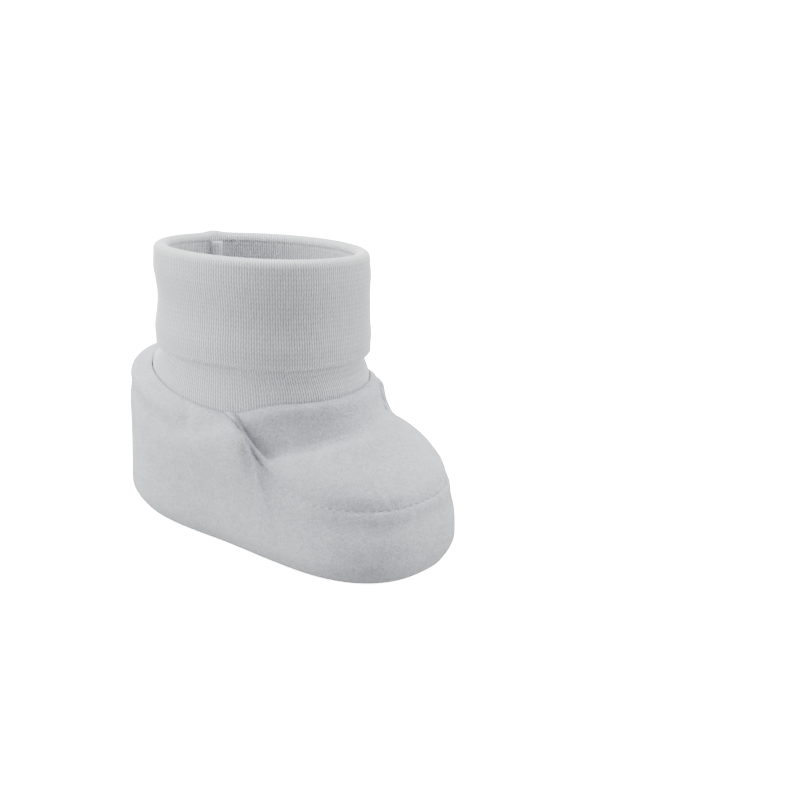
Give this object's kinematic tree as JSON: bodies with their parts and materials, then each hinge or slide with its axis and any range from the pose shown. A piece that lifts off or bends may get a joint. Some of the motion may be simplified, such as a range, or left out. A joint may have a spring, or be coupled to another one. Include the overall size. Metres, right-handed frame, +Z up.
{
  "type": "baby bootie",
  "caption": "Soft padded baby bootie with a rounded toe, a puffed collar and a rib-knit ankle tube whose top is turned down as a cuff.",
  "frame": {"origin": "middle of the sole's underside, below the middle of the foot's length and width", "axes": "+Z up, +Y towards the heel so the toe points to -Y, +X to the right seen from behind the heel"},
  "size_m": [0.0606, 0.1082, 0.0877],
  "materials": {
    "velour": "short soft white pile",
    "wadding": "loose white fibre",
    "jersey": "smooth white jersey",
    "rib_knit": "fine white rib knit",
    "thread": "white sewing thread"
  },
  "bodies": {
    "foot": {"sole": "velour", "sole_wadding": "wadding", "insole_lining": "jersey", "side_wall": "velour", "side_wall_wadding": "wadding", "side_wall_lining": "jersey", "vamp": "velour", "vamp_wadding": "wadding", "vamp_lining": "jersey", "ankle_tube": "rib_knit", "tube_seam_ridge": "rib_knit", "sole_seam_stitches": "thread", "heel_seam_stitches": "thread", "vamp_seam_stitches": "thread", "ankle_seam_stitches": "thread"},
    "cuff": {"cuff_band": "rib_knit"}
  },
  "joints": [
    {"name": "cuff_unfold", "type": "slide", "parent": "foot", "child": "cuff", "axis": [0, 0, 1], "range_m": [0, 0.022]}
  ]
}
